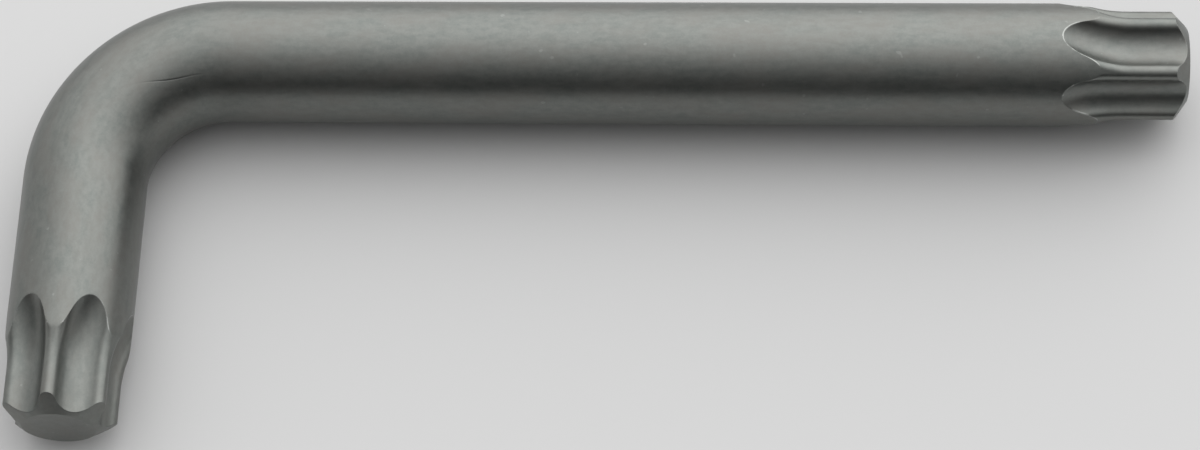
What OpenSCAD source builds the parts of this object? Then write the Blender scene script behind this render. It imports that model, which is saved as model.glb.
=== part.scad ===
// Star key: an L-shaped six-lobe key, bent from one round steel bar and formed to a star at both ends.
// The key lies flat. Its origin is under the middle of its outline, +X runs along the long arm to its tip,
// the short arm points along -Y, and +Z is up.

/* [Bar] */
// Reach of the long arm, from the outside of the short arm to the long end face
long_reach = 113; // [90:0.5:220]
// Reach of the short arm, from the outside of the long arm to the short end face
short_reach = 45; // [42:0.5:90]
// Radius of the bend at the middle line of the bar
bend_r = 13.5; // [9:0.5:16]

/* [Star] */
// Size over the lobes
star_d = 11.2; // [10:0.1:13]
// Height of the bar's surface above the tops of the lobes
shoulder_h = 0.4; // [0.2:0.05:0.8]
// Depth of the flutes below the tops of the lobes
flute_depth = 1.65; // [1.3:0.05:1.9]
// Radius of the rounding on each lobe
lobe_r = 0.77; // [0.6:0.01:0.95]
// Radius of the curve on which the flutes rise out of the bar
runout_r = 12; // [8:0.5:14]
// Length of the full-depth star on the long arm, from its end face
long_star_l = 5.6; // [4:0.1:12]
// Length of the full-depth star on the short arm, from its end face
short_star_l = 4.9; // [4:0.1:8]

/* [End chamfers] */
// Width of the chamfer across the bar
chamfer_w = 2.1; // [1:0.05:2.6]
// Length of the chamfer along the bar
chamfer_l = 1.45; // [0.8:0.05:2.6]

/* [Hidden] */
$fn = 96;

// Number of lobes, and of flutes between them
lobes = 6;
// Plain bar left behind the flutes, on the same piece as the star
collar_l = 4;
// Overrun of every cut past the surface that it cuts
overrun = 0.5;
// Angle from the top of a lobe's rounding to the edge of the turned land on it
land_angle = 15;
// Share of the lobe's radius by which a flute bites into the rounding, so that the two meet in a clean edge
bite_share = 0.012;

// The bar and its star, as radii
bar_r = star_d / 2 + shoulder_h;
crest_r = star_d / 2;
root_r = crest_r - flute_depth;
face_r = crest_r - chamfer_w;

// Centre of a lobe's rounding, for a flute that points along +X
half_pitch = 180 / lobes;
lobe_centre_r = sqrt(crest_r ^ 2 - (lobe_r * sin(land_angle)) ^ 2) - lobe_r * cos(land_angle);
lobe_centre = lobe_centre_r * [cos(half_pitch), sin(half_pitch)];

// Flute that meets the roundings on both sides of it
meeting_r = lobe_r * (1 - bite_share);
root_lead = root_r - lobe_centre.x;
flute_r = (root_lead ^ 2 + lobe_centre.y ^ 2 - meeting_r ^ 2) / (2 * (meeting_r - root_lead));
flute_centre = [root_r + flute_r, 0];
to_flute = (flute_centre - lobe_centre) / norm(flute_centre - lobe_centre);
meeting_point = lobe_centre + to_flute * (lobe_r + meeting_r) / 2;

// Outer corner of the cut that forms a flute, on a line that leaves the lobe over the land on its top
cut_reach = bar_r + overrun;
cut_side = tan(half_pitch - land_angle / 2);
cut_corner = [cut_reach, lobe_centre.y + (cut_reach - lobe_centre.x) * cut_side];

// Run-outs of the flutes and of the lobes' tops
runout_l = sqrt(runout_r ^ 2 - (runout_r - bar_r + root_r) ^ 2);
runout_angle = acos(1 - (cut_reach - root_r) / runout_r);
shoulder_r = runout_r / cos(half_pitch);

// Places of the two arms, with the outline centred on the origin
axis_z = bar_r;
corner_x = bend_r + bar_r - long_reach / 2;
corner_y = short_reach / 2 - bar_r - bend_r;
long_axis_y = corner_y + bend_r;
short_axis_x = corner_x - bend_r;
long_end_x = long_reach / 2;
short_end_y = -short_reach / 2;

// Lengths of the pieces along the bar
long_tip_l = long_star_l + runout_l + collar_l;
short_tip_l = short_star_l + runout_l + collar_l;
long_arm_l = long_end_x - corner_x - long_tip_l;
short_arm_l = corner_y - short_end_y - short_tip_l;

// Burnished steel
steel = [0.47, 0.48, 0.46];

// A flat point mirrored in the middle line of the flute
function other_side(p) = [p.x, -p.y];

// Section of the steel that one flute removes, out to the tops of the two lobes beside it
module flute_section() {
    difference() {
        union() {
            intersection() {
                translate(flute_centre) circle(r = flute_r);
                polygon([[0, 0], cut_corner, other_side(cut_corner)]);
            }
            polygon([
                meeting_point, lobe_centre, cut_corner,
                other_side(cut_corner), other_side(lobe_centre), other_side(meeting_point)
            ]);
        }
        translate(lobe_centre) circle(r = lobe_r);
        translate(other_side(lobe_centre)) circle(r = lobe_r);
    }
}

// One flute of a tip that ends at z = 0: straight over the star, then out of the bar on its run-out curve
module flute_cut(star_l) {
    translate([0, 0, -star_l]) linear_extrude(star_l + overrun) flute_section();
    translate([root_r + runout_r, 0, -star_l]) rotate([-90, 0, 180])
        rotate_extrude(angle = runout_angle) translate([root_r + runout_r, 0]) mirror([1, 0]) flute_section();
}

// Turned end of the bar, with its shoulder, lobe tops, chamfer and end face at z = 0
module turned_end(star_l, tip_l) {
    rotate_extrude() {
        polygon([[0, -star_l], [crest_r, -star_l], [crest_r, -chamfer_l], [face_r, 0], [0, 0]]);
        difference() {
            translate([0, -tip_l]) square([bar_r, tip_l - star_l]);
            translate([crest_r + shoulder_r, -star_l]) circle(r = shoulder_r);
        }
    }
}

// Star tip that ends at z = 0 and runs down to z = -tip_l
module star_tip(star_l, tip_l) {
    difference() {
        turned_end(star_l, tip_l);
        for (k = [0 : lobes - 1]) rotate(k * 360 / lobes) flute_cut(star_l);
    }
}

module long_arm() {
    color(steel) translate([corner_x, long_axis_y, axis_z]) rotate([0, 90, 0])
        cylinder(r = bar_r, h = long_arm_l);
}

module bend() {
    color(steel) translate([corner_x, corner_y, axis_z]) rotate(90)
        rotate_extrude(angle = 90) translate([bend_r, 0]) circle(r = bar_r);
}

module short_arm() {
    color(steel) translate([short_axis_x, corner_y, axis_z]) rotate([90, 0, 0])
        cylinder(r = bar_r, h = short_arm_l);
}

module long_star_tip() {
    color(steel) translate([long_end_x, long_axis_y, axis_z]) rotate([0, 90, 0])
        star_tip(long_star_l, long_tip_l);
}

module short_star_tip() {
    color(steel) translate([short_axis_x, short_end_y, axis_z]) rotate([90, 0, 0])
        star_tip(short_star_l, short_tip_l);
}

long_arm();
bend();
short_arm();
long_star_tip();
short_star_tip();
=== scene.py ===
"""Star key, dressed: an L-shaped six-lobe key of burnished steel, laid on a pale studio floor.

The key's five sections stand where the frame's nodes stand. Each is modelled on the round bar, shaped in
the bar's own unbent coordinates and laid back along it, so that one finish runs on through all of them.
"""

import logging
import math
from dataclasses import dataclass
from enum import Enum
from typing import Any

import bpy
import numpy as np
from mathutils import Euler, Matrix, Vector


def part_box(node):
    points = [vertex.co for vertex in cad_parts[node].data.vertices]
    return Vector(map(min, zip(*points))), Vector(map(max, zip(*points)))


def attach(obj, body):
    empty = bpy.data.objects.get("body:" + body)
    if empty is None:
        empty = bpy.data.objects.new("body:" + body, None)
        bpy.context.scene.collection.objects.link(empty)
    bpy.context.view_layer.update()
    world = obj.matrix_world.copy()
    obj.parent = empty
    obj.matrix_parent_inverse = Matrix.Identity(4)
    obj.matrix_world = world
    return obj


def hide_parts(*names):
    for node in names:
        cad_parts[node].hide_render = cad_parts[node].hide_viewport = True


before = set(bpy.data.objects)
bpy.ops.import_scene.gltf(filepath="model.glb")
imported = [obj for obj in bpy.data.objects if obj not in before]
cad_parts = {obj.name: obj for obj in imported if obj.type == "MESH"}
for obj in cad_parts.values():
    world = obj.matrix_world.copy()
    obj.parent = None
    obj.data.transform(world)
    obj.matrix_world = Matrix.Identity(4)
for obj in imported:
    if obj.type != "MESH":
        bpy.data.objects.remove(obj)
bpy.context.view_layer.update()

log = logging.getLogger("star_key")

MM = 0.001
# Columns of a ring round the bar
RING = 360
# Steps of a search by halving
HALVINGS = 44
# Share of the bar's radius past which a vertex belongs to its wall
WALL_SHARE = 0.9
# Distance at which two vertices are one
MERGE_REACH = 0.0001 * MM
# Angle past which an edge stays sharp in the shading
SMOOTH_ANGLE = math.radians(40.0)
# A distance past every reach on the key
FAR = 1.0

Colour = tuple[float, float, float, float]
Span = tuple[float, float]
WHITE: Colour = (1.0, 1.0, 1.0, 1.0)


class Section(Enum):
    """The key's sections, by the names of the frame's nodes."""

    LONG_TIP = "long_star_tip"
    LONG_ARM = "long_arm"
    BEND = "bend"
    SHORT_ARM = "short_arm"
    SHORT_TIP = "short_star_tip"


class Mark(Enum):
    """Attributes that a section's mesh carries for the finish."""

    LAY = "bar_lay"
    WEAR = "edge_wear"
    # Share of the fold groove on the bend; the finish paints shade along the fold by it.
    FOLD_SHADE = "fold_shade_mask"


def smooth_min(one: np.ndarray, other: np.ndarray, reach: float | np.ndarray) -> np.ndarray:
    """Takes the smaller of two surfaces and rounds the edge where they cross.

    Args:
        one: Heights of the first surface.
        other: Heights of the second surface.
        reach: Difference in height at which the rounding starts.

    Returns:
        The rounded lower surface.
    """
    near = np.clip(reach - np.abs(one - other), 0.0, None)
    return np.minimum(one, other) - near * near / (4.0 * reach)


def fade(distance: np.ndarray, reach: float) -> np.ndarray:
    """Falls smoothly from 1 at distance 0 to 0 at the given reach."""
    share = np.clip(1.0 - np.abs(distance) / reach, 0.0, 1.0)
    return share * share * (3.0 - 2.0 * share)


def eased_steps(count: int, ease: float) -> np.ndarray:
    """Shares from 0 to 1 that lie closer together at both ends.

    Args:
        count: Number of steps.
        ease: How far the spacing is drawn to the ends, from 0, even, to 1.

    Returns:
        The count shares after 0, the last of them 1.
    """
    even = np.arange(1, count + 1) / count
    return (1.0 - ease) * even + ease * even * even * (3.0 - 2.0 * even)


def slope_round(edge: np.ndarray) -> np.ndarray:
    """Finds how fast an edge runs along the bar as it goes round it.

    Args:
        edge: Distances along the bar, one for each column of a ring.

    Returns:
        Distances a radian, one for each column.
    """
    closed = np.concatenate((edge[-1:], edge, edge[:1]))
    return np.gradient(closed)[1:-1] * RING / (2.0 * math.pi)


@dataclass(frozen=True)
class Bar:
    """The bent round bar, measured on the frame's nodes.

    Its unbent coordinates are the distance from the long end face, the height over the middle line, and the
    offset from it towards the inside of the bend.
    """

    radius: float
    bend_r: float
    corner: Vector
    long_end: float
    short_end: float

    @classmethod
    def from_frame(cls) -> "Bar":
        """Measures the bar on the boxes of its nodes."""
        low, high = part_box(Section.BEND.value)
        radius = (high.z - low.z) / 2.0
        return cls(
            radius=radius,
            bend_r=high.x - low.x - radius,
            corner=Vector((high.x, low.y, (low.z + high.z) / 2.0)),
            long_end=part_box(Section.LONG_TIP.value)[1].x,
            short_end=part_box(Section.SHORT_TIP.value)[0].y,
        )

    @property
    def long_l(self) -> float:
        """Length of the straight bar from the long end face to the bend."""
        return self.long_end - self.corner.x

    @property
    def bend_l(self) -> float:
        """Length of the bend along the middle line."""
        return self.bend_r * math.pi / 2.0

    @property
    def whole_l(self) -> float:
        """Length of the unbent bar."""
        return self.long_l + self.bend_l + self.corner.y - self.short_end

    def unbend(self, points: np.ndarray) -> np.ndarray:
        """Turns places on the key into unbent coordinates.

        Args:
            points: Places in the frame, one a row.

        Returns:
            Distance along the bar, height and inward offset, one a row.
        """
        x, y = points[:, 0] - self.corner.x, points[:, 1] - self.corner.y
        turn = np.clip(np.arctan2(-x, y), 0.0, math.pi / 2.0)
        on_long, on_short = x > 0.0, y < 0.0
        from_corner = np.where(on_long, y, np.where(on_short, -x, np.hypot(x, y)))
        along = np.where(on_long, self.long_l - x, self.long_l + self.bend_r * turn)
        along = np.where(on_short, self.long_l + self.bend_l - y, along)
        return np.column_stack((along, points[:, 2] - self.corner.z, self.bend_r - from_corner))

    def lay_out(self, lay: np.ndarray) -> np.ndarray:
        """Turns unbent coordinates into places on the key.

        Args:
            lay: Distance along the bar, height and inward offset, one a row.

        Returns:
            Places in the frame, one a row.
        """
        along, height, inward = lay.T
        turn = np.clip((along - self.long_l) / self.bend_r, 0.0, math.pi / 2.0)
        before = np.clip(self.long_l - along, 0.0, None)
        after = np.clip(along - self.long_l - self.bend_l, 0.0, None)
        out = self.bend_r - inward
        x = self.corner.x + before - out * np.sin(turn)
        y = self.corner.y - after + out * np.cos(turn)
        return np.column_stack((x, y, self.corner.z + height))


@dataclass
class KeySection:
    """A section of the key: a mesh on the bar, its marks for the finish, and its place on the frame."""

    section: Section
    bar: Bar

    def start_ring(self, along: float) -> bpy.types.Object:
        """Adds the filled ring from which a section grows.

        Args:
            along: Distance of the ring from the long end face.

        Returns:
            The new object, in edit mode, with its ring selected.
        """
        on_short = along > self.bar.long_l + self.bar.bend_l / 2.0
        middle = self.bar.lay_out(np.array([[along, 0.0, 0.0]]))[0]
        turn = (math.pi / 2.0, 0.0, 0.0) if on_short else (0.0, math.pi / 2.0, 0.0)
        bpy.ops.object.select_all(action="DESELECT")
        bpy.ops.mesh.primitive_circle_add(
            vertices=RING, radius=self.bar.radius, fill_type="NGON", location=middle, rotation=turn
        )
        piece = bpy.context.object
        piece.name = "key_" + self.section.value
        piece.data.name = piece.name
        bpy.ops.object.transform_apply(location=True, rotation=True, scale=True)
        bpy.ops.object.mode_set(mode="EDIT")
        bpy.ops.mesh.select_all(action="SELECT")
        return piece

    def draw_bar(self, start: float, end: float, count: int) -> bpy.types.Object:
        """Extrudes a straight length of bar, ring by ring.

        Args:
            start: Distance of its first ring from the long end face.
            end: Distance of its last ring.
            count: Number of steps between them.

        Returns:
            The piece, in object mode.
        """
        piece = self.start_ring(start)
        first, last = self.bar.lay_out(np.array([[start, 0.0, 0.0], [end, 0.0, 0.0]]))
        step = tuple((last - first) / count)
        for _ in range(count):
            bpy.ops.mesh.extrude_region_move(TRANSFORM_OT_translate={"value": step})
        self.close(piece)
        return piece

    def close(self, piece: bpy.types.Object) -> None:
        """Merges doubles, turns the faces outwards and leaves edit mode."""
        bpy.ops.mesh.select_all(action="SELECT")
        bpy.ops.mesh.remove_doubles(threshold=MERGE_REACH)
        bpy.ops.mesh.normals_make_consistent(inside=False)
        bpy.ops.object.mode_set(mode="OBJECT")
        piece.data.update()

    def places(self, piece: bpy.types.Object) -> np.ndarray:
        """Reads the places of a piece's vertices, one a row."""
        flat = np.empty(len(piece.data.vertices) * 3)
        piece.data.vertices.foreach_get("co", flat)
        return flat.reshape(-1, 3)

    def set_places(self, piece: bpy.types.Object, points: np.ndarray) -> None:
        """Moves a piece's vertices to new places."""
        piece.data.vertices.foreach_set("co", points.ravel())
        piece.data.update()

    def set_mark(self, piece: bpy.types.Object, mark: Mark, values: np.ndarray) -> None:
        """Stores one value or one vector a vertex for the finish.

        Args:
            piece: The piece that carries the mark.
            mark: Which mark it is.
            values: One number or one row of three for each vertex.
        """
        is_vector = values.ndim == 2
        kind = "FLOAT_VECTOR" if is_vector else "FLOAT"
        layer = piece.data.attributes.new(mark.value, kind, "POINT")
        layer.data.foreach_set("vector" if is_vector else "value", values.astype(np.float32).ravel())

    def set_marks(
        self,
        piece: bpy.types.Object,
        lay: np.ndarray,
        wear: np.ndarray | None = None,
        fold: np.ndarray | None = None,
    ) -> None:
        """Stores all that the finish reads on a piece.

        Args:
            piece: The modelled piece.
            lay: Unbent coordinates of its vertices, one a row.
            wear: Wear of its vertices, where it has worn edges.
            fold: Depth of the fold at its vertices, as a share, where it has one; the finish paints shade
                along the fold by this share.
        """
        plain = np.zeros(len(lay))
        self.set_mark(piece, Mark.LAY, lay)
        self.set_mark(piece, Mark.WEAR, plain if wear is None else wear)
        self.set_mark(piece, Mark.FOLD_SHADE, plain if fold is None else fold)

    def build(self) -> bpy.types.Object:
        """Models the section. Each kind of section has its own way."""
        raise NotImplementedError

    def dress(self, piece: bpy.types.Object, finish: bpy.types.Material) -> None:
        """Smooths a piece, gives it its finish and puts it on the frame.

        Args:
            piece: The modelled piece.
            finish: The key's steel.
        """
        bpy.ops.object.select_all(action="DESELECT")
        piece.select_set(True)
        bpy.context.view_layer.objects.active = piece
        bpy.ops.object.shade_smooth_by_angle(angle=SMOOTH_ANGLE)
        piece.data.materials.clear()
        piece.data.materials.append(finish)
        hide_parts(self.section.value)
        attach(piece, "root")


@dataclass
class PlainArm(KeySection):
    """A straight length of plain bar between a star and the bend."""

    step_l: float = 1.5 * MM

    def build(self) -> bpy.types.Object:
        """Draws the bar between the ends of its node.

        Returns:
            The modelled arm.
        """
        low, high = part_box(self.section.value)
        level = self.bar.corner.z
        first = (low.x, high.y, level) if self.section is Section.SHORT_ARM else (high.x, low.y, level)
        start, end = self.bar.unbend(np.array([first, (low.x, low.y, level)]))[:, 0]
        piece = self.draw_bar(start, end, round((end - start) / self.step_l))
        self.set_marks(piece, self.bar.unbend(self.places(piece)))
        return piece


@dataclass
class Bend(KeySection):
    """The right-angled bend, with the fold that the bending pressed into its inner shoulder and painted
    shade along it.
    """

    steps: int = 120
    fold_start: tuple[float, float] = (-1.5 * MM, 9.75 * MM)
    fold_end: tuple[float, float] = (-8.3 * MM, 8.05 * MM)
    fold_depth: float = 0.014 * MM
    fold_reach: float = 0.11 * MM
    lip_height: float = 0.003 * MM
    lip_reach: float = 0.9 * MM
    taper: float = 0.62
    bow: float = 0.10 * MM
    sway: float = 0.05 * MM
    sway_rate: float = 9.0
    fine_reach: float = 0.5 * MM
    fine_share: float = 0.7
    fine_cuts: int = 3

    def fold_distance(self, points: np.ndarray) -> tuple[np.ndarray, np.ndarray]:
        """Measures how far places lie from the fold, seen from above.

        Args:
            points: Places in the frame, one a row.

        Returns:
            The offset towards the inside of the bend, and the share of the fold's length.
        """
        start, end = np.array(self.fold_start), np.array(self.fold_end)
        run = end - start
        length = float(np.hypot(*run))
        run = run / length
        flat = points[:, :2] - np.array(self.bar.corner[:2]) - start
        share = flat @ run / length
        curve = self.sway * np.sin(share * self.sway_rate) + self.bow * np.sin(share * math.pi)
        offset = flat @ np.array([-run[1], run[0]]) + curve
        below = points[:, 2] < self.bar.corner.z
        return np.where(below, FAR, offset), share

    def build(self) -> bpy.types.Object:
        """Spins the ring through the bend and presses the fold into it.

        Returns:
            The modelled bend.
        """
        piece = self.start_ring(self.bar.long_l)
        bpy.ops.mesh.spin(
            steps=self.steps, angle=-math.pi / 2.0, center=self.bar.corner, axis=(0.0, 0.0, 1.0)
        )
        self.close(piece)
        self.refine(piece)
        lay = self.bar.unbend(self.places(piece))
        around = np.arctan2(lay[:, 2], lay[:, 1])
        on_wall = np.hypot(lay[:, 1], lay[:, 2]) > WALL_SHARE * self.bar.radius
        wall = self.bar.radius * np.column_stack((np.cos(around), np.sin(around)))
        lay[:, 1:] = np.where(on_wall[:, None], wall, lay[:, 1:])
        offset, share = self.fold_distance(self.bar.lay_out(lay))
        strength = fade(share - 0.5, self.taper)
        groove_and_shade = fade(offset, self.fold_reach) * strength
        inside = np.clip(offset / self.lip_reach, 0.0, 1.0)
        lip = np.sin(inside * math.pi) ** 2 * strength
        scale = 1.0 + (self.lip_height * lip - self.fold_depth * groove_and_shade) / self.bar.radius
        lay[:, 1:] *= scale[:, None]
        self.set_places(piece, self.bar.lay_out(lay))
        # The groove's share is also the mask of the painted shade that the finish lays along the fold.
        self.set_marks(piece, lay, fold=groove_and_shade)
        return piece

    def refine(self, piece: bpy.types.Object) -> None:
        """Divides the faces round the fold, so that its edge stays even."""
        middles = np.empty(len(piece.data.polygons) * 3)
        piece.data.polygons.foreach_get("center", middles)
        offset, share = self.fold_distance(middles.reshape(-1, 3))
        near = (np.abs(offset) < self.fine_reach) & (np.abs(share - 0.5) < self.fine_share)
        bpy.ops.object.mode_set(mode="EDIT")
        bpy.ops.mesh.select_all(action="DESELECT")
        bpy.ops.object.mode_set(mode="OBJECT")
        piece.data.polygons.foreach_set("select", near)
        bpy.ops.object.mode_set(mode="EDIT")
        bpy.ops.mesh.select_mode(type="FACE")
        bpy.ops.mesh.subdivide(number_cuts=self.fine_cuts)
        bpy.ops.mesh.select_mode(type="VERT")
        bpy.ops.object.mode_set(mode="OBJECT")


@dataclass(frozen=True)
class StarForm:
    """Section of the star and the curves on which its flutes and lobes run out into the bar."""

    lobes: int = 6
    crest_r: float = 5.6 * MM
    root_r: float = 3.95 * MM
    lobe_r: float = 0.77 * MM
    runout_r: float = 12.0 * MM
    chamfer_w: float = 2.1 * MM
    chamfer_l: float = 1.45 * MM
    edge_reach: float = 0.06 * MM
    shoulder_reach: float = 0.07 * MM
    search_shares: Span = (0.9, 1.4)

    @property
    def half_pitch(self) -> float:
        """Angle from the middle of a flute to the top of a lobe."""
        return math.pi / self.lobes

    @property
    def face_r(self) -> float:
        """Radius of the end face."""
        return self.crest_r - self.chamfer_w

    @property
    def chamfer_slope(self) -> float:
        """Rise of the chamfer across the bar, for each length along it."""
        return self.chamfer_w / self.chamfer_l

    @property
    def chamfer_lean(self) -> float:
        """Length on the chamfer, for each length along the bar."""
        return math.hypot(1.0, self.chamfer_slope)

    @property
    def lobe_centre(self) -> tuple[float, float]:
        """Centre of the lobe's rounding beside a flute that points along the first axis."""
        reach = self.crest_r - self.lobe_r
        return reach * math.cos(self.half_pitch), reach * math.sin(self.half_pitch)

    @property
    def flute_r(self) -> float:
        """Radius of the flute, which touches the roundings of both lobes beside it."""
        lead = self.root_r - self.lobe_centre[0]
        side = self.lobe_centre[1]
        return (lead**2 + side**2 - self.lobe_r**2) / (2.0 * (self.lobe_r - lead))

    def section_edge(self, side: np.ndarray) -> np.ndarray:
        """Finds the edge of the full-depth flute in its section.

        Args:
            side: Offsets from the middle line of the flute.

        Returns:
            Distances from the bar's middle line, measured along the flute's own direction.
        """
        centre = self.root_r + self.flute_r
        lobe_x, lobe_y = self.lobe_centre
        meeting = lobe_y - lobe_y * self.lobe_r / (self.lobe_r + self.flute_r)
        flute = centre - np.sqrt(np.clip(self.flute_r**2 - side**2, 0.0, None))
        lobe = lobe_x + np.sqrt(np.clip(self.lobe_r**2 - (side - lobe_y) ** 2, 0.0, None))
        top_x = self.crest_r * math.cos(self.half_pitch)
        top_y = self.crest_r * math.sin(self.half_pitch)
        land = top_x - (side - top_y) * math.tan(self.half_pitch)
        return np.where(side < meeting, flute, np.where(side < top_y, lobe, land))

    def worked_radius(self, angle: np.ndarray, past: np.ndarray) -> np.ndarray:
        """Finds the worked surface of flutes and lobes, by halving the span in which it lies.

        Args:
            angle: Angles from the middle of the flute, up to half a pitch.
            past: Distances past the full-depth star, 0 or more, along the run-out.

        Returns:
            Radii from the bar's middle line.
        """
        axis = self.root_r + self.runout_r
        low = np.full_like(angle, self.search_shares[0] * self.root_r)
        high = np.full_like(angle, self.search_shares[1] * self.crest_r)
        for _ in range(HALVINGS):
            middle = (low + high) / 2.0
            lead = axis - np.hypot(axis - middle * np.cos(angle), past)
            cut = lead > self.section_edge(middle * np.sin(angle))
            high = np.where(cut, middle, high)
            low = np.where(cut, low, middle)
        return (low + high) / 2.0


@dataclass
class StarTip(KeySection):
    """A star end: chamfered end face, six flutes between six lobes, their run-outs and a collar of bar.

    Its first flute, the turn of its run-outs and the twist of its star are angles from the top of the bar
    towards the inside of the bend. Its use scales the wear on its edges, from 0 to 1.
    """

    star_l: float
    first_flute: float
    runout_turn: float
    twist: float
    use: float
    form: StarForm = StarForm()
    rim_reach: float = 0.10 * MM
    wear_reach: float = 0.12 * MM
    shoulder_w: float = 0.6 * MM
    shoulder_wear: float = 0.25
    hollow_wear: float = 0.45
    rim_wear: float = 0.2
    rim_wear_reach: float = 0.18 * MM
    face_shares: tuple[float, ...] = (0.5, 0.9, 0.98)
    rim_rings: int = 5
    chamfer_rings: int = 18
    chamfer_ease: float = 0.5
    star_rings: int = 110
    star_ease: float = 0.75
    collar_rings: int = 30

    @property
    def tip_l(self) -> float:
        """Length of the tip along the bar."""
        low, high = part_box(self.section.value)
        return high.x - low.x if self.section is Section.LONG_TIP else high.y - low.y

    def flute_angle(self, around: np.ndarray) -> np.ndarray:
        """Folds an angle round the bar into the angle from the nearest flute."""
        pitch = 2.0 * self.form.half_pitch
        return np.abs((around - self.first_flute + pitch / 2.0) % pitch - pitch / 2.0)

    def turned(self, back: np.ndarray) -> np.ndarray:
        """Gives the angle by which the star is turned on the bar.

        The star is twisted a little against its run-outs, so the angle changes along them. On the collar it
        dies away.

        Args:
            back: Distances from the end face.

        Returns:
            Angles from the top of the bar towards the inside of the bend.
        """
        rise = self.form.runout_r - self.bar.radius + self.form.root_r
        runout_l = math.sqrt(self.form.runout_r**2 - rise**2)
        on_star = fade(np.clip(back - self.star_l, 0.0, None), runout_l)
        collar_l = self.tip_l - self.star_l - runout_l
        on_runout = fade(np.clip(back - self.star_l - runout_l, 0.0, None), collar_l)
        return self.runout_turn * on_runout + self.twist * on_star

    def runout_edge(self, angle: np.ndarray) -> np.ndarray:
        """Finds where the worked surface comes out of the bar.

        Args:
            angle: Angles from the middle of the nearest flute.

        Returns:
            Distances from the end face.
        """
        low = np.full_like(angle, self.star_l)
        high = np.full_like(angle, self.tip_l)
        for _ in range(HALVINGS):
            middle = (low + high) / 2.0
            inside = self.form.worked_radius(angle, middle - self.star_l) < self.bar.radius
            low = np.where(inside, middle, low)
            high = np.where(inside, high, middle)
        return (low + high) / 2.0

    def face_rows(self) -> tuple[np.ndarray, np.ndarray, np.ndarray]:
        """Plans the rings of the end face and of its rounded rim.

        Returns:
            Distance from the end face, radius and edge wear, one row a ring.
        """
        form = self.form
        flat = np.zeros(len(self.face_shares))
        flat_r = form.face_r - self.rim_reach
        end_back = self.rim_reach / form.chamfer_lean
        end_r = form.face_r + end_back * form.chamfer_slope
        share = np.linspace(0.0, 1.0, self.rim_rings)
        rim_r = (1.0 - share) ** 2 * flat_r + 2.0 * share * (1.0 - share) * form.face_r + share**2 * end_r
        back = np.concatenate((flat, share**2 * end_back))
        radius = np.concatenate((flat_r * np.array(self.face_shares), rim_r))
        wear = np.concatenate((flat, np.full(self.rim_rings, self.rim_wear)))
        return tuple(np.repeat(column[:, None], RING, axis=1) for column in (back, radius, wear))

    def wall_rows(self, chamfer: np.ndarray, runout: np.ndarray) -> np.ndarray:
        """Plans the rings of the chamfer, the star and the collar, with one along each edge.

        Args:
            chamfer: Distance of the chamfer's edge from the end face, for each column of the ring.
            runout: Distance of the run-out's edge from the end face, for each column.

        Returns:
            Distances from the end face, one row a ring.
        """
        start = self.rim_reach / self.form.chamfer_lean
        on_chamfer = eased_steps(self.chamfer_rings, self.chamfer_ease)
        on_star = eased_steps(self.star_rings, self.star_ease)
        on_collar = eased_steps(self.collar_rings, 0.0) ** 2
        rows = [start + share * (chamfer - start) for share in on_chamfer]
        rows += [chamfer + share * (runout - chamfer) for share in on_star]
        rows += [runout + share * (self.tip_l - runout) for share in on_collar]
        return np.array(rows)

    def lobe_share(self, angle: np.ndarray) -> np.ndarray:
        """Tells how near angles from the nearest flute are to the top of a lobe, from 0 to 1."""
        return fade((self.form.half_pitch - angle) * self.bar.radius, self.shoulder_w)

    def edge_wear(
        self, angle: np.ndarray, back: np.ndarray, chamfer: np.ndarray, runout: np.ndarray
    ) -> np.ndarray:
        """Finds how far the edges of the run-outs, of the chamfer and of the end face are worn.

        Args:
            angle: Angle from the nearest flute, for each column of the ring.
            back: Distances from the end face, one row a ring.
            chamfer: Distance of the chamfer's edge from the end face, for each column.
            runout: Distance of the run-out's edge from the end face, for each column.

        Returns:
            The wear, one row a ring.
        """
        form = self.form
        on_lobe = self.lobe_share(angle)
        chamfer_r = form.face_r + chamfer * form.chamfer_slope
        chamfer_steep = form.chamfer_lean / np.hypot(1.0, slope_round(chamfer) / chamfer_r)
        runout_steep = 1.0 / np.hypot(1.0, slope_round(runout) / self.bar.radius)
        exposed = self.hollow_wear + on_lobe * (1.0 - self.hollow_wear)
        sheltered = 1.0 - on_lobe * (1.0 - self.shoulder_wear)
        wear = fade((back - runout) * runout_steep, self.wear_reach) * sheltered
        wear = np.maximum(wear, fade((back - chamfer) * chamfer_steep, self.wear_reach) * exposed)
        return np.maximum(wear, self.rim_wear * fade(back * form.chamfer_lean, self.rim_wear_reach))

    def ring_plan(self, angle: np.ndarray) -> tuple[np.ndarray, np.ndarray, np.ndarray]:
        """Plans all the tip's rings.

        Args:
            angle: Angle from the nearest flute, for each column of the ring.

        Returns:
            Distance from the end face, radius and edge wear, one row a ring.
        """
        form = self.form
        chamfer = (form.worked_radius(angle, np.zeros_like(angle)) - form.face_r) / form.chamfer_slope
        runout = self.runout_edge(angle)
        back = self.wall_rows(chamfer, runout)
        past = np.clip(back - self.star_l, 0.0, None)
        surface = form.worked_radius(np.broadcast_to(angle, back.shape), past)
        soft = form.edge_reach + self.lobe_share(angle) * (form.shoulder_reach - form.edge_reach)
        radius = smooth_min(surface, np.full_like(surface, self.bar.radius), soft)
        radius = smooth_min(radius, form.face_r + back * form.chamfer_slope, form.edge_reach)
        wall = (back, radius, self.edge_wear(angle, back, chamfer, runout))
        return tuple(np.concatenate(pair) for pair in zip(self.face_rows(), wall))

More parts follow.
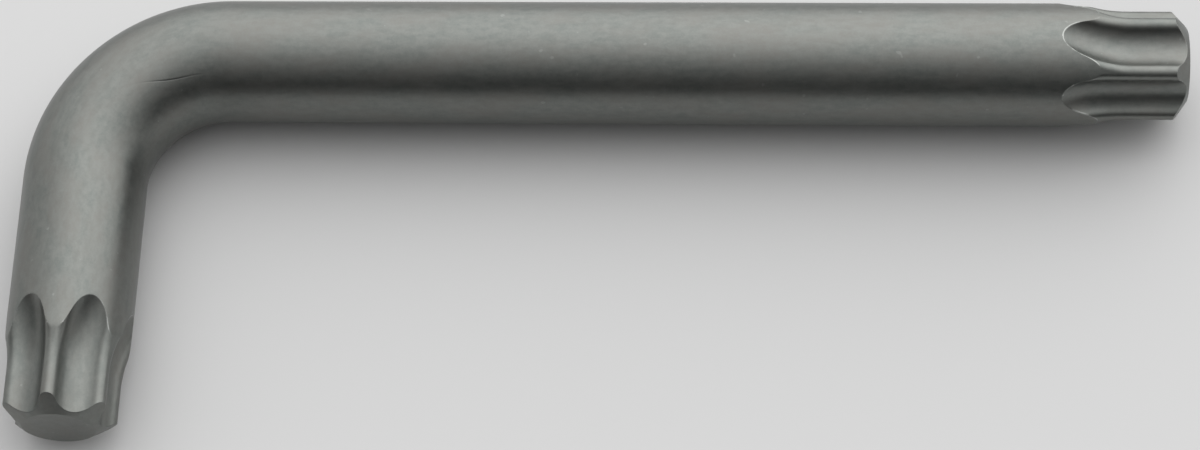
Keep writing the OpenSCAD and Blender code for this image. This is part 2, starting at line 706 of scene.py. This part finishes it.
    def build(self) -> bpy.types.Object:
        """Draws the end of the bar and works the star into it.

        Returns:
            The modelled tip.
        """
        on_long = self.section is Section.LONG_TIP
        angles = np.arange(RING) * 2.0 * math.pi / RING
        back, radius, wear = self.ring_plan(self.flute_angle(angles))
        last_row = len(back) - 1
        end = 0.0 if on_long else self.bar.whole_l
        inner = self.tip_l if on_long else self.bar.whole_l - self.tip_l
        piece = self.draw_bar(end, inner, last_row)
        lay = self.bar.unbend(self.places(piece))
        around = np.arctan2(lay[:, 2], lay[:, 1])
        column = np.round(around / (2.0 * math.pi) * RING).astype(int) % RING
        row = np.round(np.abs(lay[:, 0] - end) / self.tip_l * last_row).astype(int)
        along = end + (1.0 if on_long else -1.0) * back[row, column]
        out = radius[row, column]
        turn = angles[column] + self.turned(back[row, column])
        lay = np.column_stack((along, out * np.cos(turn), out * np.sin(turn)))
        self.set_places(piece, self.bar.lay_out(lay))
        self.set_marks(piece, lay, wear=wear[row, column] * self.use)
        return piece


class Value:
    """A shader value, on which Python's arithmetic adds Math nodes."""

    def __init__(self, board: "NodeBoard", socket: bpy.types.NodeSocket | None) -> None:
        """Wraps an output socket of a node on the board, or none where the node has no outputs."""
        self.board = board
        self.socket = socket

    def math(self, operation: str, *others: Any) -> "Value":
        """Adds a Math node.

        Args:
            operation: The node's operation.
            others: The values or numbers after this one.

        Returns:
            The result.
        """
        inputs = dict(enumerate((self, *others)))
        return self.board.add("ShaderNodeMath", {"operation": operation}, inputs)

    def __add__(self, other: Any) -> "Value":
        """Adds."""
        return self.math("ADD", other)

    def __sub__(self, other: Any) -> "Value":
        """Subtracts."""
        return self.math("SUBTRACT", other)

    def __mul__(self, other: Any) -> "Value":
        """Multiplies."""
        return self.math("MULTIPLY", other)

    def __pow__(self, other: Any) -> "Value":
        """Raises to a power."""
        return self.math("POWER", other)

    def at_least(self, other: Any) -> "Value":
        """Takes the larger of two values."""
        return self.math("MAXIMUM", other)

    def ramp(self, low: float, high: float) -> "Value":
        """Rises smoothly from 0 at the low value to 1 at the high one.

        Args:
            low: Value at which the result is 0.
            high: Value at which the result is 1.

        Returns:
            The eased share.
        """
        inputs = {"Value": self, "From Min": low, "From Max": high}
        return self.board.add("ShaderNodeMapRange", {"interpolation_type": "SMOOTHSTEP"}, inputs)


@dataclass(frozen=True)
class Pattern:
    """A noise of the finish: waves a metre, finer layers, their strength, and the span that is used."""

    waves: float
    layers: float
    strength: float = 0.5
    span: Span = (0.35, 0.65)


class NodeBoard:
    """A node tree that is filled node by node."""

    def __init__(self, tree: bpy.types.NodeTree) -> None:
        """Takes a tree and clears it."""
        self.tree = tree
        tree.nodes.clear()

    def socket(self, sockets: Any, key: int | str) -> bpy.types.NodeSocket:
        """Finds a socket by its place, name or identifier.

        Args:
            sockets: A node's inputs or outputs.
            key: Place, name or identifier.

        Returns:
            The socket.
        """
        if isinstance(key, str):
            for socket in sockets:
                if socket.identifier == key:
                    return socket
        return sockets[key]

    def add(self, kind: str, settings: dict[str, Any], inputs: dict[Any, Any], out: int | str = 0) -> Value:
        """Adds a node.

        Args:
            kind: The node's type.
            settings: Its settings, which are set first.
            inputs: Values or links of its sockets, by place, name or identifier.
            out: Which of its outputs is wanted.

        Returns:
            The wanted output.
        """
        node = self.tree.nodes.new(kind)
        for name, setting in settings.items():
            setattr(node, name, setting)
        for key, given in inputs.items():
            socket = self.socket(node.inputs, key)
            if isinstance(given, Value):
                self.tree.links.new(given.socket, socket)
            else:
                socket.default_value = given
        if not node.outputs:
            return Value(self, None)
        return Value(self, self.socket(node.outputs, out))

    def noise(self, place: Value, pattern: Pattern) -> Value:
        """Adds a noise that is even round its middle.

        Args:
            place: Coordinates that it is read at.
            pattern: The noise's form.

        Returns:
            The noise, about 0.5.
        """
        inputs = {
            "Vector": place,
            "Scale": pattern.waves,
            "Detail": pattern.layers,
            "Roughness": pattern.strength,
        }
        return self.add("ShaderNodeTexNoise", {}, inputs, "Fac")

    def mix(self, share: Value, one: Any, other: Any) -> Value:
        """Mixes two colours.

        Args:
            share: Share of the second colour.
            one: First colour.
            other: Second colour.

        Returns:
            The mixed colour.
        """
        inputs = {"Factor_Float": share, "A_Color": one, "B_Color": other}
        return self.add("ShaderNodeMix", {"data_type": "RGBA"}, inputs, "Result_Color")


@dataclass(frozen=True)
class BurnishedSteel:
    """Dark burnished steel: satin, faintly mottled and streaked, bright where its edges are worn, with
    painted shade along the bend's fold.
    """

    base: Colour = (0.199, 0.206, 0.194, 1.0)
    cool: Colour = (0.149, 0.161, 0.152, 1.0)
    warm: Colour = (0.176, 0.175, 0.163, 1.0)
    worn: Colour = (0.36, 0.37, 0.355, 1.0)
    # Painted shade: near-black colour laid along the bend's fold groove.
    fold: Colour = (0.06, 0.06, 0.06, 1.0)
    rough: float = 0.40
    drawn: tuple[float, float, float] = (0.4, 1.0, 1.0)
    clouds: Pattern = Pattern(400.0, 3.0)
    streaks: Pattern = Pattern(1900.0, 2.0)
    mottle: Pattern = Pattern(1400.0, 4.0, 0.6, (0.32, 0.68))
    grain: Pattern = Pattern(5200.0, 3.0, 0.6)
    specks: Pattern = Pattern(1500.0, 0.0, span=(0.82, 0.88))
    rubs: Pattern = Pattern(420.0, 2.0, span=(0.40, 0.64))
    nicks: Pattern = Pattern(2600.0, 1.0, span=(0.62, 0.70))
    mottle_share: float = 0.42
    streak_share: float = 0.36
    grain_share: float = 0.22
    speck_share: float = 0.25
    chip_grain: float = 0.6
    chip_span: Span = (0.55, 0.95)
    rub_share: float = 0.75
    chip_share: float = 0.35
    bare_share: float = 0.1
    worn_span: Span = (0.2, 0.95)
    nick_share: float = 0.9
    nicked_span: Span = (0.2, 0.5)
    # Span of the fold share over which the painted shade is laid.
    fold_shade_span: Span = (0.3, 1.0)
    mottle_rough: float = 0.10
    cloud_rough: float = 0.12
    worn_polish: float = 0.08
    bump_strength: float = 0.15
    bump_depth: float = 0.02 * MM
    mottle_bump: float = 0.5
    grain_bump: float = 0.3

    def worn_share(self, board: NodeBoard, lay: Value, mottle: Value, grain: Value) -> Value:
        """Finds how far the burnish is rubbed and nicked off along the edges.

        Args:
            board: The material's nodes.
            lay: Unbent coordinates.
            mottle: The finish's mottling.
            grain: The finish's grain.

        Returns:
            The share of bare steel.
        """
        wear = board.add("ShaderNodeAttribute", {"attribute_name": Mark.WEAR.value}, {}, "Fac")
        rubs = board.noise(lay, self.rubs).ramp(*self.rubs.span)
        nicks = board.noise(lay, self.nicks).ramp(*self.nicks.span)
        chips = (mottle + grain * self.chip_grain).ramp(*self.chip_span)
        rubbed = rubs * self.rub_share + chips * self.chip_share + self.bare_share
        nicked = nicks * wear.ramp(*self.nicked_span) * self.nick_share
        return (wear * rubbed).ramp(*self.worn_span).at_least(nicked)

    def material(self) -> bpy.types.Material:
        """Makes the finish.

        Returns:
            The material, which all sections share.
        """
        material = bpy.data.materials.new("burnished_steel")
        material.use_nodes = True
        board = NodeBoard(material.node_tree)
        lay = board.add("ShaderNodeAttribute", {"attribute_name": Mark.LAY.value}, {}, "Vector")
        # Share of the fold groove, the mask of the painted shade.
        fold = board.add("ShaderNodeAttribute", {"attribute_name": Mark.FOLD_SHADE.value}, {}, "Fac")
        stretch = {0: lay, 1: self.drawn}
        drawn = board.add("ShaderNodeVectorMath", {"operation": "MULTIPLY"}, stretch, "Vector")
        clouds = board.noise(drawn, self.clouds)
        streaks = board.noise(drawn, self.streaks)
        mottle = board.noise(lay, self.mottle)
        grain = board.noise(lay, self.grain)
        specks = board.noise(lay, self.specks).ramp(*self.specks.span)
        worn = self.worn_share(board, lay, mottle, grain)
        tone = mottle.ramp(*self.mottle.span) * self.mottle_share
        tone = tone + streaks.ramp(*self.streaks.span) * self.streak_share
        tone = tone + grain.ramp(*self.grain.span) * self.grain_share
        colour = board.mix(clouds.ramp(*self.clouds.span), self.cool, self.warm)
        colour = board.mix(tone, colour, self.base)
        colour = board.mix(specks * self.speck_share, colour, self.worn)
        colour = board.mix(worn, colour, self.worn)
        # Painted shade: darkens the colour along the bend's fold.
        colour = board.mix(fold.ramp(*self.fold_shade_span), colour, self.fold)
        rough = (mottle - 0.5) * self.mottle_rough + (clouds - 0.5) * self.cloud_rough + self.rough
        rough = rough - worn * self.worn_polish
        height = mottle * self.mottle_bump + grain * self.grain_bump
        relief = {"Strength": self.bump_strength, "Distance": self.bump_depth, "Height": height}
        bump = board.add("ShaderNodeBump", {}, relief, "Normal")
        surface = {"Base Color": colour, "Metallic": 1.0, "Roughness": rough, "Normal": bump}
        steel = board.add("ShaderNodeBsdfPrincipled", {}, surface, "BSDF")
        board.add("ShaderNodeOutputMaterial", {}, {"Surface": steel})
        return material


@dataclass(frozen=True)
class SoftLight:
    """A soft light of the dome.

    Its turn is the angle from straight behind the key towards the right, and its height the angle above the
    floor. The larger its focus, the narrower it is.
    """

    turn: float
    height: float
    focus: float
    strength: float

    @property
    def way(self) -> tuple[float, float, float]:
        """Direction to the light, of length 1."""
        level = math.cos(self.height)
        return level * math.sin(self.turn), level * math.cos(self.turn), math.sin(self.height)


@dataclass(frozen=True)
class Studio:
    """A wide pale floor under a soft dome of light, brightest behind and above the key."""

    floor_side: float = 12.0
    floor_colour: Colour = (0.66, 0.66, 0.66, 1.0)
    back: SoftLight = SoftLight(math.radians(20.0), math.radians(25.0), focus=1.5, strength=2.20)
    top: SoftLight = SoftLight(0.0, math.radians(90.0), focus=3.0, strength=0.82)
    left: SoftLight = SoftLight(math.radians(-70.0), 0.0, focus=4.0, strength=0.85)
    right: SoftLight = SoftLight(math.radians(70.0), 0.0, focus=4.0, strength=0.32)
    fill: float = 0.01

    def build(self) -> None:
        """Lays the floor and lights the dome."""
        self.lay_floor()
        self.light_dome()

    def lay_floor(self) -> None:
        """Lays a plain matt floor under the key."""
        bpy.ops.object.select_all(action="DESELECT")
        bpy.ops.mesh.primitive_plane_add(size=self.floor_side)
        floor = bpy.context.object
        floor.name = "studio_floor"
        material = bpy.data.materials.new("matt_floor")
        material.use_nodes = True
        board = NodeBoard(material.node_tree)
        matt = board.add("ShaderNodeBsdfDiffuse", {}, {"Color": self.floor_colour}, "BSDF")
        board.add("ShaderNodeOutputMaterial", {}, {"Surface": matt})
        floor.data.materials.append(material)

    def light_dome(self) -> None:
        """Lights the world: soft lights behind, above and at the sides, with little in front."""
        world = bpy.data.worlds.new("studio_dome")
        world.use_nodes = True
        bpy.context.scene.world = world
        board = NodeBoard(world.node_tree)
        look = board.add("ShaderNodeTexCoord", {}, {}, "Generated")
        glow: Any = self.fill
        for light in (self.back, self.top, self.left, self.right):
            directions = {0: look, 1: light.way}
            facing = board.add("ShaderNodeVectorMath", {"operation": "DOT_PRODUCT"}, directions, "Value")
            glow = facing.at_least(0.0) ** light.focus * light.strength + glow
        dome = board.add("ShaderNodeBackground", {}, {"Color": WHITE, "Strength": glow}, "Background")
        board.add("ShaderNodeOutputWorld", {}, {"Surface": dome})


@dataclass(frozen=True)
class StudioCamera:
    """The camera, in front of the key and well above it."""

    place: tuple[float, float, float] = (21.948 * MM, -132.991 * MM, 295.249 * MM)
    turn: tuple[float, float, float] = (24.608, 3.414, 2.026)
    lens: float = 99.48
    sensor: float = 36.0
    clip: Span = (10.0 * MM, 60.0)

    def build(self) -> None:
        """Sets the camera up and makes it the scene's own."""
        data = bpy.data.cameras.new("studio_camera")
        data.sensor_fit = "HORIZONTAL"
        data.sensor_width = self.sensor
        data.lens = self.lens
        data.clip_start, data.clip_end = self.clip
        camera = bpy.data.objects.new("studio_camera", data)
        camera.location = self.place
        camera.rotation_euler = Euler([math.radians(angle) for angle in self.turn], "XYZ")
        bpy.context.scene.collection.objects.link(camera)
        bpy.context.scene.camera = camera


def main() -> None:
    """Builds the key section by section, then the studio round it."""
    logging.basicConfig(level=logging.INFO, format="%(name)s: %(message)s")
    bpy.context.scene.view_settings.view_transform = "Standard"
    bar = Bar.from_frame()
    steel = BurnishedSteel().material()
    sections = [
        StarTip(
            Section.LONG_TIP,
            bar,
            star_l=5.6 * MM,
            first_flute=0.0,
            runout_turn=math.radians(-1.0),
            twist=math.radians(6.5),
            use=1.0,
        ),
        PlainArm(Section.LONG_ARM, bar),
        Bend(Section.BEND, bar),
        PlainArm(Section.SHORT_ARM, bar),
        StarTip(
            Section.SHORT_TIP,
            bar,
            star_l=4.9 * MM,
            first_flute=StarForm().half_pitch,
            runout_turn=math.radians(1.5),
            twist=math.radians(-3.3),
            use=0.6,
        ),
    ]
    for section in sections:
        piece = section.build()
        section.dress(piece, steel)
        log.info("%s: %d faces", piece.name, len(piece.data.polygons))
    Studio().build()
    StudioCamera().build()


if __name__ == "__main__":
    main()
